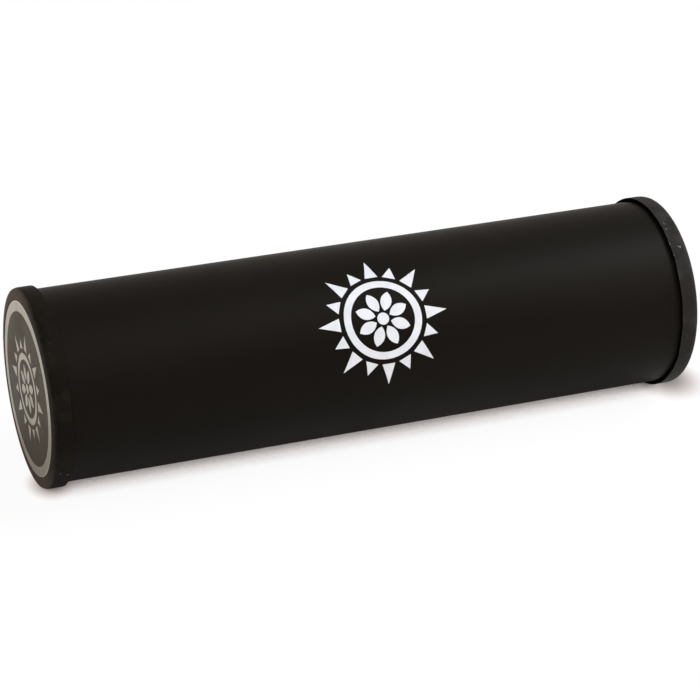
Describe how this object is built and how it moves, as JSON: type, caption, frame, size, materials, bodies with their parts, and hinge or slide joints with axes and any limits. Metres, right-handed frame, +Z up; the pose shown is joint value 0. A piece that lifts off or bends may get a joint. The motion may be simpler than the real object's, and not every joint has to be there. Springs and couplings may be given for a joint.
{
  "type": "ganza shaker",
  "caption": "Cylindrical hand shaker: black steel tube closed by rubber end caps with round metal badges, and loose steel shot that slides along and swings round inside.",
  "frame": {"origin": "on the surface that the shaker lies on, below the middle of the tube", "axes": "+X along the tube, from the end that the picture shows to the far end, +Z up, and the side print faces -Y and up"},
  "size_m": [0.2286, 0.0666, 0.0666],
  "materials": {
    "tube_paint": "black paint, satin",
    "print_white": "white screen-printed ink",
    "cap_rubber": "black moulded rubber, dull",
    "disc_steel": "bare pressed steel sheet",
    "badge_adhesive": "double-sided adhesive pad",
    "badge_metal": "satin aluminium",
    "badge_ink": "dark grey printed ink, satin",
    "shot_steel": "smooth steel balls"
  },
  "bodies": {
    "shaker": {"tube": "tube_paint", "side_print": "print_white", "left_end_disc": "disc_steel", "left_end_cap": "cap_rubber", "left_badge_pad": "badge_adhesive", "left_badge": "badge_metal", "left_badge_ink": "badge_ink", "right_end_disc": "disc_steel", "right_end_cap": "cap_rubber", "right_badge_pad": "badge_adhesive", "right_badge": "badge_metal", "right_badge_ink": "badge_ink"},
    "loose_ball": {"loose_ball": "shot_steel"},
    "shot_row_lower_1": {"shot_row_lower_1": "shot_steel"},
    "shot_row_lower_2": {"shot_row_lower_2": "shot_steel"},
    "shot_row_lower_3": {"shot_row_lower_3": "shot_steel"},
    "shot_row_lower_4": {"shot_row_lower_4": "shot_steel"},
    "shot_row_lower_5": {"shot_row_lower_5": "shot_steel"},
    "shot_row_lower_6": {"shot_row_lower_6": "shot_steel"},
    "shot_row_lower_7": {"shot_row_lower_7": "shot_steel"},
    "shot_row_upper_1": {"shot_row_upper_1": "shot_steel"},
    "shot_row_upper_2": {"shot_row_upper_2": "shot_steel"},
    "shot_row_upper_3": {"shot_row_upper_3": "shot_steel"},
    "shot_row_upper_4": {"shot_row_upper_4": "shot_steel"}
  },
  "joints": [
    {"name": "load_swing", "type": "hinge", "parent": "shaker", "child": "loose_ball", "pos_m": [0, 0, 0.0333], "axis": [1, 0, 0], "continuous": true},
    {"name": "lower_1_slide", "type": "slide", "parent": "loose_ball", "child": "shot_row_lower_1", "axis": [1, 0, 0], "range_m": [-0.06, 0.048]},
    {"name": "lower_2_slide", "type": "slide", "parent": "loose_ball", "child": "shot_row_lower_2", "axis": [1, 0, 0], "range_m": [-0.046, 0.062]},
    {"name": "lower_3_slide", "type": "slide", "parent": "loose_ball", "child": "shot_row_lower_3", "axis": [1, 0, 0], "range_m": [-0.0555, 0.0515]},
    {"name": "lower_4_slide", "type": "slide", "parent": "loose_ball", "child": "shot_row_lower_4", "axis": [1, 0, 0], "range_m": [-0.049, 0.057]},
    {"name": "lower_5_slide", "type": "slide", "parent": "loose_ball", "child": "shot_row_lower_5", "axis": [1, 0, 0], "range_m": [-0.061, 0.045]},
    {"name": "lower_6_slide", "type": "slide", "parent": "loose_ball", "child": "shot_row_lower_6", "axis": [1, 0, 0], "range_m": [-0.0505, 0.0545]},
    {"name": "lower_7_slide", "type": "slide", "parent": "loose_ball", "child": "shot_row_lower_7", "axis": [1, 0, 0], "range_m": [-0.058, 0.05]},
    {"name": "upper_1_slide", "type": "slide", "parent": "loose_ball", "child": "shot_row_upper_1", "axis": [1, 0, 0], "range_m": [-0.0705, 0.0665]},
    {"name": "upper_2_slide", "type": "slide", "parent": "loose_ball", "child": "shot_row_upper_2", "axis": [1, 0, 0], "range_m": [-0.065, 0.073]},
    {"name": "upper_3_slide", "type": "slide", "parent": "loose_ball", "child": "shot_row_upper_3", "axis": [1, 0, 0], "range_m": [-0.0735, 0.0655]},
    {"name": "upper_4_slide", "type": "slide", "parent": "loose_ball", "child": "shot_row_upper_4", "axis": [1, 0, 0], "range_m": [-0.0675, 0.0715]}
  ]
}
